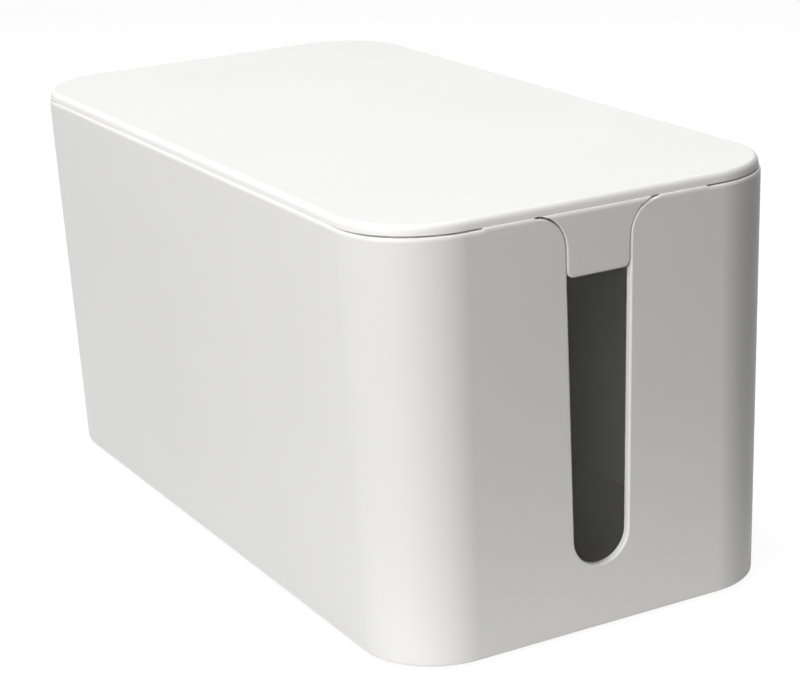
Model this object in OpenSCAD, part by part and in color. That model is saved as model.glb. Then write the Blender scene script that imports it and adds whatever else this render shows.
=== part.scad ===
// Cable management box: a moulded tub with a cable slot in each end wall, and a lift-off lid
// whose two tongues close the tops of the slots. It stands on four rubber feet.
// Millimetres. X runs along the box, Z is up, and the origin is on the table under its middle.

/* [Case] */
// Length of the box at its rim
case_l = 235; // [200:1:320]
// Width of the box at its rim
case_w = 122; // [105:1:160]
// Height of the closed box, from the table to the top of the lid
case_h = 116; // [95:1:150]
// Radius of the upright corners at the rim
corner_r = 24; // [14:0.1:28]
// How far each wall leans in from the rim to the base
wall_lean = 2.5; // [0.6:0.1:3]
// Thickness of the walls
wall_t = 2; // [1.8:0.1:3.4]
// Thickness of the floor
floor_t = 2.8; // [2.4:0.1:4]
// Rounding of the rim's outer edge
rim_round = 1; // [0.5:0.1:1.4]
// Rounding of the base's outer edge
base_round = 0.7; // [0.5:0.1:2.5]
// Rounding between the floor and the walls, inside
floor_round = 2; // [1:0.1:4]

/* [Rim pads] */
// Height of the pads that carry the lid, above the rest of the rim
pad_h = 0.4; // [0.3:0.1:1.2]
// Length of the pad on each side of a slot
pad_l = 15; // [8:0.1:18]
// Length of the raised rim along each long wall
long_pad_l = 180; // [80:1:180]
// Length of the slope at each end of that raised rim
slope_l = 16; // [6:1:20]

/* [Cable slots] */
// Width of a slot where its sides start to flare
slot_w = 19; // [14:0.1:22]
// Radius of a slot's round bottom
slot_bottom_r = 8.2; // [5:0.1:8.6]
// Height of a slot's lowest point above the table
slot_low = 18.3; // [12:0.1:30]
// Radius of the flare at the top of a slot
flare_r = 8.4; // [5:0.1:9]

/* [Lid] */
// Thickness of the lid
lid_t = 2.6; // [2.4:0.1:5]
// Rounding of the lid's top edge
lid_round = 1.8; // [0.6:0.1:2.2]
// How far the lid's edge stands in from the rim of the walls
lid_inset = 0.5; // [0.2:0.05:0.8]
// Bevel of the lid's lower outer edge
lid_bevel = 0.1; // [0.05:0.05:0.2]
// Depth of the skirt that centres the lid inside the walls
skirt_h = 6; // [4:0.5:10]
// Thickness of the skirt
skirt_t = 1.8; // [1.2:0.1:2.5]
// Clearance between the skirt and the walls at the rim
skirt_gap = 0.6; // [0.5:0.05:1]
// Height of the stiffening ribs under the lid
rib_h = 3; // [1.5:0.1:4]
// Thickness of the ribs
rib_t = 1.5; // [1:0.1:2.5]
// Number of ribs across the lid
rib_count = 3; // [1:1:5]

/* [Tongues] */
// Depth of a tongue below the top of the lid
tongue_drop = 19.5; // [16:0.5:30]
// Gap between a tongue's side and its slot
tongue_gap = 0.35; // [0.35:0.05:0.8]
// Gap between a tongue's flare and its slot, at the middle of the curve
flare_gap = 0.8; // [0.8:0.05:1.2]
// Radius of a tongue's lower corners
tongue_corner_r = 2; // [0.8:0.1:4]
// How far a tongue's flange reaches in under the lid
flange_l = 10; // [9:0.5:16]
// Width of the flange
flange_w = 24; // [20:0.5:26]
// Thickness of the flange
flange_t = 2; // [1.5:0.1:3]
// Reach of the gussets between a tongue and its flange
gusset_l = 5; // [3:0.5:8]
// Thickness of the gussets
gusset_t = 1.5; // [1:0.1:2.5]
// Diameter of the lid's posts, which hold the flanges
post_d = 3; // [2:0.1:4]
// Distance between the two posts of a flange
post_pitch = 15; // [10:0.5:17]
// Clearance of a post in its hole, on the radius
post_gap = 0.05; // [0.03:0.01:0.2]
// Diameter of the head that each post is melted into
head_d = 5; // [4.6:0.1:6]
// Height of that head
head_h = 1.2; // [0.8:0.1:2]

/* [Feet] */
// Diameter of a foot
foot_d = 12; // [8:0.5:16]
// How far a foot stands proud of the base
foot_proud = 0.9; // [0.6:0.1:2]
// Depth of the recess that holds a foot
foot_recess = 1; // [0.5:0.1:1.4]
// Clearance of a foot in its recess, on the radius
foot_gap = 0.3; // [0.3:0.05:0.6]
// Rounding of a foot's lower edge
foot_round = 0.5; // [0.2:0.05:0.55]
// Distance from a foot's middle to the box's end and side, at the rim
foot_inset = 25; // [18:0.5:34]

/* [Hidden] */
$fn = 96;

shell_white = [0.93, 0.93, 0.92];
rubber_grey = [0.45, 0.45, 0.44];
arc_steps = 6;        // straight steps in each small rounding
over = 1;             // how far a cut runs past the face that it opens

half_l = case_l / 2;
half_w = case_w / 2;
axis_x = half_l - corner_r;      // upright axes of the four corners
axis_y = half_w - corner_r;

seam_z = case_h - lid_t;         // underside of the lid
rim_z = seam_z - pad_h;          // top of the rim between the pads
base_z = foot_proud;             // underside of the tub
floor_z = base_z + floor_t;
lean_angle = atan(wall_lean / (seam_z - base_z));
wall_run = wall_t / cos(lean_angle);   // the wall's thickness, measured level

slot_half = slot_w / 2;
slot_bottom_z = slot_low + slot_bottom_r;   // centre of the round bottom
flare_z = rim_z - flare_r;                  // centres of the flares
flare_y = slot_half + flare_r;

tongue_half = slot_half - tongue_gap;
tongue_flare_r = flare_r + flare_gap;
tongue_low = case_h - tongue_drop;

post_x = half_l - wall_run - flange_l / 2 - over / 2;
foot_x = half_l - foot_inset;
foot_y = half_w - foot_inset;

// How far a leaning wall stands in from its place at the seam, at height z
function lean(z) = (seam_z - z) * tan(lean_angle);

// Points of an arc round [x, z], from angle a to angle b
function arc(x, z, r, a, b) =
    [for (i = [0 : arc_steps]) let (t = a + (b - a) * i / arc_steps) [x + r * cos(t), z + r * sin(t)]];

// Distance of a rounding's centre from the corner's axis, beside a leaning wall
function rounding_x(z, r) = corner_r - lean(z) - r / cos(lean_angle);

// ---- Sweeps round the case. Their children are sections: x is the distance from a corner's axis.

module round_case() {
    for (sx = [0, 1], sy = [0, 1])
        mirror([sx, 0, 0]) mirror([0, sy, 0])
            translate([axis_x, axis_y, 0]) rotate_extrude(angle = 90) children();
    for (s = [0, 1])
        mirror([s, 0, 0]) translate([axis_x, axis_y, 0])
            rotate([90, 0, 0]) linear_extrude(2 * axis_y) children();
    for (s = [0, 1])
        mirror([0, s, 0]) translate([-axis_x, axis_y, 0])
            rotate([90, 0, 90]) linear_extrude(2 * axis_x) children();
}

module filled_case(low, high) {
    round_case() children();
    translate([-axis_x, -axis_y, low]) cube([2 * axis_x, 2 * axis_y, high - low]);
}

module both_ends() {
    children();
    mirror([1, 0, 0]) children();
}

module both_sides() {
    children();
    mirror([0, 1, 0]) children();
}

// Turns an outline drawn in Y and Z to stand square to X, and gives it a length along X
module along_x(start, length) {
    translate([start, 0, 0]) rotate([90, 0, 90]) linear_extrude(length) children();
}

// ---- Tub

module outer_section(top) {
    polygon(concat(
        [[0, base_z]],
        arc(rounding_x(base_z + base_round, base_round), base_z + base_round, base_round,
            -90, -lean_angle),
        arc(rounding_x(top - rim_round, rim_round), top - rim_round, rim_round, -lean_angle, 90),
        [[0, top]]
    ));
}

module inner_section() {
    top = seam_z + over;
    round_z = floor_z + floor_round;
    polygon(concat(
        [[0, floor_z]],
        arc(rounding_x(round_z, floor_round) - wall_run, round_z, floor_round, -90, -lean_angle),
        [[corner_r - lean(top) - wall_run, top], [0, top]]
    ));
}

// The tub's floor and walls, without openings, up to a given rim height
module shell(top) {
    difference() {
        filled_case(base_z, top) outer_section(top);
        filled_case(floor_z, seam_z + over) inner_section();
    }
}

// The stretches of rim that reach up to the lid
module pad_zones() {
    low = rim_z - rim_round;
    high = long_pad_l / 2;
    foot = high + slope_l;
    translate([0, case_w / 2 + over, 0]) rotate([90, 0, 0]) linear_extrude(case_w + 2 * over)
        polygon([[-foot, low], [-foot, rim_z], [-high, seam_z + over / 1000], [high, seam_z + over / 1000],
                 [foot, rim_z], [foot, low]]);
    both_ends() both_sides()
        translate([half_l - wall_run - over, flare_y, low])
            cube([wall_run + 2 * over, pad_l, seam_z - low + over]);
}

module slot_outline() {
    translate([0, slot_bottom_z]) circle(slot_bottom_r);
    polygon([[-slot_bottom_r, slot_bottom_z], [slot_bottom_r, slot_bottom_z],
             [slot_half, flare_z], [-slot_half, flare_z]]);
    difference() {
        translate([-flare_y, flare_z]) square([2 * flare_y, seam_z + over - flare_z]);
        for (s = [-1, 1]) translate([s * flare_y, flare_z]) circle(flare_r);
    }
}

module case_tub() {
    color(shell_white) difference() {
        union() {
            shell(rim_z);
            intersection() {
                shell(seam_z);
                pad_zones();
            }
        }
        both_ends() along_x(half_l - corner_r, corner_r + over) slot_outline();
        for (sx = [-1, 1], sy = [-1, 1])
            translate([sx * foot_x, sy * foot_y, base_z - over])
                cylinder(h = foot_recess + over, r = foot_d / 2 + foot_gap);
    }
}

// ---- Lid

module lid_section() {
    edge = corner_r - lid_inset;
    polygon(concat(
        [[0, seam_z], [edge - lid_bevel, seam_z], [edge, seam_z + lid_bevel]],
        arc(edge - lid_round, case_h - lid_round, lid_round, 0, 90),
        [[0, case_h]]
    ));
}

module skirt_section() {
    outer = corner_r - wall_run - skirt_gap;
    translate([outer - skirt_t, seam_z - skirt_h]) square([skirt_t, skirt_h + over]);
}

module lid_ribs() {
    reach = half_w - wall_run - skirt_gap - skirt_t / 2;
    pitch = 2 * axis_x / (rib_count + 1);
    for (i = [1 : rib_count])
        translate([-axis_x + i * pitch - rib_t / 2, -reach, seam_z - rib_h])
            cube([rib_t, 2 * reach, rib_h + over]);
}

module posts() {
    for (s = [-1, 1]) translate([post_x, s * post_pitch / 2, 0]) {
        translate([0, 0, seam_z - flange_t - head_h]) cylinder(h = flange_t + head_h + over, d = post_d);
        translate([0, 0, seam_z - flange_t - head_h]) cylinder(h = head_h, d1 = post_d, d2 = head_d);
    }
}

module lid() {
    color(shell_white) {
        filled_case(seam_z, case_h) lid_section();
        difference() {
            round_case() skirt_section();
            both_ends() translate([axis_x, -flange_w / 2 - over, seam_z - skirt_h - over])
                cube([corner_r + over, flange_w + 2 * over, skirt_h + over]);
        }
        lid_ribs();
        both_ends() posts();
    }
}

// ---- Tongues

module tongue_outline() {
    centre_y = tongue_half + tongue_flare_r;
    centre_z = flare_z + tongue_gap;
    translate([-tongue_half, tongue_low + tongue_corner_r])
        square([2 * tongue_half, seam_z - tongue_low - tongue_corner_r]);
    for (s = [-1, 1])
        translate([s * (tongue_half - tongue_corner_r), tongue_low + tongue_corner_r])
            circle(tongue_corner_r);
    translate([-tongue_half + tongue_corner_r, tongue_low])
        square([2 * (tongue_half - tongue_corner_r), tongue_corner_r + over]);
    difference() {
        translate([-centre_y, centre_z]) square([2 * centre_y, seam_z - centre_z]);
        for (s = [-1, 1]) translate([s * centre_y, centre_z]) circle(tongue_flare_r);
    }
}

// A gusset under the flange, against the tongue's inner face
module gusset() {
    face_x = half_l - wall_run;
    under = seam_z - flange_t;
    translate([0, gusset_t / 2, 0]) rotate([90, 0, 0]) linear_extrude(gusset_t)
        polygon([[face_x - gusset_l, under + over], [face_x - gusset_l, under],
                 [face_x - lean(under - gusset_l), under - gusset_l],
                 [face_x + over, under - gusset_l], [face_x + over, under + over]]);
}

module tongue() {
    color(shell_white) difference() {
        union() {
            intersection() {
                shell(seam_z);
                along_x(axis_x, corner_r + over) tongue_outline();
            }
            translate([half_l - wall_run - flange_l, -flange_w / 2, seam_z - flange_t])
                cube([flange_l + over, flange_w, flange_t]);
            both_sides() translate([0, tongue_half / 2, 0]) gusset();
        }
        for (s = [-1, 1])
            translate([post_x, s * post_pitch / 2, seam_z - flange_t - over])
                cylinder(h = flange_t + 2 * over, r = post_d / 2 + post_gap);
    }
}

module tongue_front() { tongue(); }
module tongue_rear() { mirror([1, 0, 0]) tongue(); }

// ---- Feet

module foot(sx, sy) {
    color(rubber_grey) translate([sx * foot_x, sy * foot_y, 0]) rotate_extrude()
        polygon(concat(
            [[0, 0]],
            arc(foot_d / 2 - foot_round, foot_round, foot_round, -90, 0),
            [[foot_d / 2, foot_proud + foot_recess], [0, foot_proud + foot_recess]]
        ));
}

case_tub();
lid();
tongue_front();
tongue_rear();
foot(1, 1);  // foot_front_left
foot(1, -1);  // foot_front_right
foot(-1, 1);  // foot_rear_left
foot(-1, -1);  // foot_rear_right
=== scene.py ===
"""Looks for a cable management box: a moulded tub, a lid, two slot tongues and four rubber feet.

Everything is in metres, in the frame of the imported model: X along the box, Z up, origin on the table.
"""

import logging
import math
from collections.abc import Callable, Iterator
from contextlib import contextmanager
from dataclasses import dataclass, replace
from enum import Enum

import bmesh
import bpy
from mathutils import Matrix, Vector


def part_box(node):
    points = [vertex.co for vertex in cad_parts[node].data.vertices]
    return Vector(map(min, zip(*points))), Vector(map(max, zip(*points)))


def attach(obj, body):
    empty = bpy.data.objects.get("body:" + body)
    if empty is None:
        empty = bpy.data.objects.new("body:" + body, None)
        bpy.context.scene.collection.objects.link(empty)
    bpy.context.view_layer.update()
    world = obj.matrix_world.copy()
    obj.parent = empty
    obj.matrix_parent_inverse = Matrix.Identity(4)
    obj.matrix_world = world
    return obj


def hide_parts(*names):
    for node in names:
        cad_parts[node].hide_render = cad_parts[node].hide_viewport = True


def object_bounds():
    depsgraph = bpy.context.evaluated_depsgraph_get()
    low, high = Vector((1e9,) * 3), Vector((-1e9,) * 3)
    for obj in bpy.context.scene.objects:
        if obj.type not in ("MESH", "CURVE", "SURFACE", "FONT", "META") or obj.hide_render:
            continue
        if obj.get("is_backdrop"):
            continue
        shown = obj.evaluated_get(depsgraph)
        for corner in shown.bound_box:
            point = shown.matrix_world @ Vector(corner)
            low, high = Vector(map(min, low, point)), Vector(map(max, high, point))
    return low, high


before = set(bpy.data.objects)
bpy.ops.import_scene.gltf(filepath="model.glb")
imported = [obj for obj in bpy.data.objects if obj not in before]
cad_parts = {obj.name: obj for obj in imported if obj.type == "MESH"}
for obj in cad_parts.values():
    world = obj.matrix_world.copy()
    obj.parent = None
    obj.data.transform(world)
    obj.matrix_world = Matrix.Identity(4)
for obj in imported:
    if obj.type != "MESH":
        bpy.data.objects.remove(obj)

MM = 0.001
NEAR = 0.02 * MM          # two places closer than this are the same place
LEVEL = 0.9               # the least size of a normal's Z on a face that lies level
ROUND_STEPS = 6           # flat steps of a rounding that shows
BEVEL_STEPS = 2           # flat steps of one that hardly shows
ROD_STEPS = 32            # sides of a post or its hole
LOG = logging.getLogger("cable_box")

PieceTest = Callable[[object], bool]
Feeds = dict[str | int, object]


# ---------------------------------------------------------------- sizes


class End(Enum):
    """The two ends of the box, by the sign of their X."""

    FRONT = 1
    REAR = -1


class Kind(Enum):
    """The kinds of mesh element that an operator works on."""

    VERT = "VERT"
    EDGE = "EDGE"
    FACE = "FACE"


@dataclass(frozen=True)
class CaseForm:
    """The case that all pieces share: a rounded box whose walls lean in towards the base."""

    length: float
    width: float
    base_z: float
    seam_z: float
    top_z: float
    corner_r: float = 24.0 * MM
    wall_lean: float = 2.5 * MM
    wall_t: float = 2.0 * MM
    floor_t: float = 2.8 * MM
    pad_h: float = 0.4 * MM
    lid_inset: float = 0.5 * MM      # how far the lid's edge stands in from the walls

    @classmethod
    def from_frame(cls) -> "CaseForm":
        """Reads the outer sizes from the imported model.

        Returns:
            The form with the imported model's own length, width and heights.
        """
        tub_low, tub_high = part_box("case_tub")
        lid_low, lid_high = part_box("lid")
        return cls(
            length=lid_high.x - lid_low.x + 2 * cls.lid_inset,
            width=lid_high.y - lid_low.y + 2 * cls.lid_inset,
            base_z=tub_low.z,
            seam_z=tub_high.z,
            top_z=lid_high.z,
        )

    @property
    def half_l(self) -> float:
        """Half the length at the rim."""
        return self.length / 2

    @property
    def half_w(self) -> float:
        """Half the width at the rim."""
        return self.width / 2

    @property
    def rim_z(self) -> float:
        """Height of the rim between its raised pads."""
        return self.seam_z - self.pad_h

    @property
    def floor_z(self) -> float:
        """Height of the floor inside."""
        return self.base_z + self.floor_t

    @property
    def lean_angle(self) -> float:
        """Angle of the walls from the vertical."""
        return math.atan(self.wall_lean / (self.seam_z - self.base_z))

    @property
    def wall_run(self) -> float:
        """Thickness of a leaning wall, measured level."""
        return self.wall_t / math.cos(self.lean_angle)

    def of_lid(self) -> "CaseForm":
        """The lid's own outline, which stands in from the walls."""
        inset = self.lid_inset
        length, width = self.length - 2 * inset, self.width - 2 * inset
        return replace(self, length=length, width=width, corner_r=self.corner_r - inset)

    def lean(self, z: float) -> float:
        """How far a wall stands in from its place at the seam.

        Args:
            z: The height.

        Returns:
            The distance, in metres.
        """
        return (self.seam_z - z) * math.tan(self.lean_angle)

    def depth(self, at: Vector) -> float:
        """How deep a point lies inside the walls' outer face.

        Args:
            at: The point.

        Returns:
            The distance, in metres, which is zero on the outer face.
        """
        x = abs(at.x) - (self.half_l - self.corner_r)
        y = abs(at.y) - (self.half_w - self.corner_r)
        reach = math.hypot(max(x, 0.0), max(y, 0.0)) + min(max(x, y), 0.0)
        return self.corner_r - self.lean(at.z) - reach


@dataclass(frozen=True)
class SlotForm:
    """A cable slot: a round bottom, sides that widen upwards, and a flare at the rim."""

    half: float = 9.5 * MM
    bottom_r: float = 8.2 * MM
    low: float = 18.3 * MM
    flare_r: float = 8.4 * MM

    @property
    def bottom_z(self) -> float:
        """Height of the round bottom's centre."""
        return self.low + self.bottom_r

    @property
    def flare_y(self) -> float:
        """Distance of a flare's centre from the middle of the slot."""
        return self.half + self.flare_r

    def flare_z(self, rim_z: float) -> float:
        """Height of the flares' centres under a rim at rim_z."""
        return rim_z - self.flare_r


# ---------------------------------------------------------------- modelling tools


def activate(piece: bpy.types.Object) -> None:
    """Makes a piece the only selected one, and the active one."""
    bpy.ops.object.select_all(action="DESELECT")
    piece.select_set(True)
    bpy.context.view_layer.objects.active = piece


@contextmanager
def editing(piece: bpy.types.Object) -> Iterator[None]:
    """Holds a piece in edit mode.

    Args:
        piece: The mesh object to edit.

    Yields:
        Nothing. The piece leaves edit mode when the block ends.
    """
    activate(piece)
    bpy.ops.object.mode_set(mode="EDIT")
    try:
        yield
    finally:
        bpy.ops.object.mode_set(mode="OBJECT")


def pick(kind: Kind, test: PieceTest) -> None:
    """Selects the elements of the edited mesh that pass a test, and nothing else.

    Args:
        kind: Which elements to look at.
        test: Says whether an element is picked.
    """
    bpy.ops.mesh.select_mode(type=kind.value)
    bpy.ops.mesh.select_all(action="DESELECT")
    mesh = bpy.context.edit_object.data
    shape = bmesh.from_edit_mesh(mesh)
    elements = {Kind.VERT: shape.verts, Kind.EDGE: shape.edges, Kind.FACE: shape.faces}[kind]
    shape.normal_update()
    for element in [element for element in elements if test(element)]:
        element.select_set(True)
    shape.select_flush_mode()
    bmesh.update_edit_mesh(mesh)


def add_block(name: str, low: Vector, high: Vector) -> bpy.types.Object:
    """Adds a block between two corners, with its place in its mesh.

    Args:
        name: The piece's name.
        low: The lowest corner.
        high: The highest corner.

    Returns:
        The new object.
    """
    bpy.ops.object.select_all(action="DESELECT")
    bpy.ops.mesh.primitive_cube_add(size=1, location=(low + high) / 2)
    block = bpy.context.active_object
    block.name = block.data.name = name
    block.scale = high - low
    bpy.ops.object.transform_apply(location=True, rotation=True, scale=True)
    return block


def add_rod(name: str, centre: Vector, radius: float, height: float, steps: int) -> bpy.types.Object:
    """Adds an upright rod, with its place in its mesh.

    Args:
        name: The piece's name.
        centre: The middle of the rod.
        radius: Its radius.
        height: Its height.
        steps: How many sides it has.

    Returns:
        The new object.
    """
    bpy.ops.object.select_all(action="DESELECT")
    bpy.ops.mesh.primitive_cylinder_add(vertices=steps, radius=radius, depth=height, location=centre)
    rod = bpy.context.active_object
    rod.name = rod.data.name = name
    bpy.ops.object.transform_apply(location=True, rotation=True, scale=True)
    return rod


def apply_modifier(piece: bpy.types.Object, kind: str, **settings: object) -> None:
    """Adds a modifier to a piece, sets it and applies it.

    Args:
        piece: The piece.
        kind: Blender's name for the modifier.
        **settings: The modifier's own settings.
    """
    activate(piece)
    modifier = piece.modifiers.new(kind.lower(), kind)
    for name, value in settings.items():
        setattr(modifier, name, value)
    bpy.ops.object.modifier_apply(modifier=modifier.name)


def combine(piece: bpy.types.Object, tool: bpy.types.Object, operation: str) -> None:
    """Cuts a tool out of a piece, or fuses it on, and removes the tool.

    Args:
        piece: The piece that is kept.
        tool: The other solid.
        operation: DIFFERENCE, UNION or INTERSECT.
    """
    apply_modifier(piece, "BOOLEAN", object=tool, operation=operation, solver="EXACT")
    bpy.data.objects.remove(tool)


def round_edges(test: PieceTest, radius: float, steps: int) -> None:
    """Rounds the edges of the edited mesh that pass a test.

    Args:
        test: Says whether an edge is rounded.
        radius: The rounding's radius.
        steps: How many flat steps it has.
    """
    pick(Kind.EDGE, test)
    bpy.ops.mesh.bevel(offset=radius, segments=steps, profile=0.5, affect="EDGES", clamp_overlap=False)


def round_edges_by_share(
    piece: bpy.types.Object, share: Callable[[bmesh.types.BMEdge], float], radius: float, steps: int
) -> None:
    """Rounds a piece's edges, each by its own share of a radius.

    Args:
        piece: The piece.
        share: Gives an edge's share, from 0 for none to 1 for the whole radius.
        radius: The whole radius.
        steps: How many flat steps a rounding has.
    """
    with editing(piece):
        shape = bmesh.from_edit_mesh(piece.data)
        shape.normal_update()
        layers = shape.edges.layers.float
        weight = layers.get("bevel_weight_edge") or layers.new("bevel_weight_edge")
        for edge in shape.edges:
            edge[weight] = share(edge)
        bmesh.update_edit_mesh(piece.data)
    apply_modifier(
        piece, "BEVEL", width=radius, segments=steps, limit_method="WEIGHT", use_clamp_overlap=False
    )


def is_sharp(edge: bmesh.types.BMEdge, least: float = 0.7) -> bool:
    """Whether an edge turns by more than an angle, in radians."""
    return len(edge.link_faces) == 2 and edge.calc_face_angle(0.0) > least


def both_at(edge: bmesh.types.BMEdge, z: float) -> bool:
    """Whether both ends of an edge lie at a height."""
    return all(abs(vert.co.z - z) < NEAR for vert in edge.verts)


def finish_shading(piece: bpy.types.Object, crease: float = 40.0) -> None:
    """Shades a piece smooth, keeps its creases, and lets its flat faces rule the normals.

    Args:
        piece: The piece.
        crease: The angle, in degrees, past which an edge stays sharp.
    """
    activate(piece)
    bpy.ops.object.shade_smooth_by_angle(angle=math.radians(crease))
    apply_modifier(piece, "WEIGHTED_NORMAL", mode="FACE_AREA", weight=100, keep_sharp=True)


class Pen:
    """Draws an outline across the box, in Y and Z, and makes it a solid along X."""

    def __init__(self, name: str, x: float, y: float, z: float) -> None:
        """Puts the pen down.

        Args:
            name: The piece's name.
            x: Where the outline stands along X.
            y: The first point's Y.
            z: The first point's Z.
        """
        self.x = x
        self.at = Vector((x, y, z))
        bpy.ops.object.select_all(action="DESELECT")
        bpy.ops.mesh.primitive_plane_add(size=MM)
        self.piece = bpy.context.active_object
        self.piece.name = self.piece.data.name = name
        with editing(self.piece):
            pick(Kind.VERT, lambda vert: True)
            bpy.ops.mesh.merge(type="CENTER")
            pick(Kind.VERT, lambda vert: True)
            bpy.ops.transform.translate(value=self.at)

    def line(self, y: float, z: float) -> None:
        """Draws a straight line to a point."""
        self._follow()
        step = Vector((self.x, y, z)) - self.at
        with editing(self.piece):
            self._take_end()
            bpy.ops.mesh.extrude_region_move(TRANSFORM_OT_translate={"value": step})
        self.at += step

    def arc(self, y: float, z: float, angle: float, steps: int) -> None:
        """Draws an arc from where the pen is.

        Args:
            y: The centre's Y.
            z: The centre's Z.
            angle: The turn, in degrees, from Y towards Z.
            steps: How many straight steps the arc has.
        """
        self._follow()
        centre = Vector((self.x, y, z))
        with editing(self.piece):
            self._take_end()
            bpy.ops.mesh.spin(
                steps=steps, angle=math.radians(angle), center=centre, axis=(-1, 0, 0)
            )
        turn = Matrix.Rotation(math.radians(angle), 3, "X")
        self.at = centre + turn @ (self.at - centre)

    def solid(self, thickness: float) -> bpy.types.Object:
        """Closes the outline, fills it and makes it a solid.

        Args:
            thickness: How far the solid reaches along X, either way.

        Returns:
            The finished solid.
        """
        with editing(self.piece):
            bpy.ops.mesh.select_all(action="SELECT")
            bpy.ops.mesh.remove_doubles(threshold=NEAR)
            bpy.ops.mesh.select_all(action="SELECT")
            bpy.ops.mesh.edge_face_add()
            bpy.ops.mesh.extrude_region_move(TRANSFORM_OT_translate={"value": (thickness, 0, 0)})
            bpy.ops.mesh.select_all(action="SELECT")
            bpy.ops.mesh.normals_make_consistent(inside=False)
        return self.piece

    def _take_end(self) -> None:
        """Selects the point that the pen is on."""
        pick(Kind.VERT, lambda vert: (vert.co - self.at).length < NEAR)

    def _follow(self) -> None:
        """Checks that the mesh ends where the pen is."""
        if not any((vert.co - self.at).length < NEAR for vert in self.piece.data.vertices):
            raise ValueError(f"{self.piece.name}: the outline doesn't reach {self.at}")


def rounded_block(name: str, form: CaseForm, low_z: float, high_z: float, steps: int) -> bpy.types.Object:
    """Adds a block with the case's own outline and upright rounded corners.

    Args:
        name: The piece's name.
        form: The case.
        low_z: Where it starts.
        high_z: Where it ends.
        steps: How many flat steps each corner has.

    Returns:
        The new object.
    """
    block = add_block(
        name, Vector((-form.half_l, -form.half_w, low_z)), Vector((form.half_l, form.half_w, high_z))
    )
    with editing(block):
        round_edges(
            lambda edge: abs(edge.verts[0].co.z - edge.verts[1].co.z) > NEAR, form.corner_r, steps
        )
    return block


# ---------------------------------------------------------------- the tub


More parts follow.
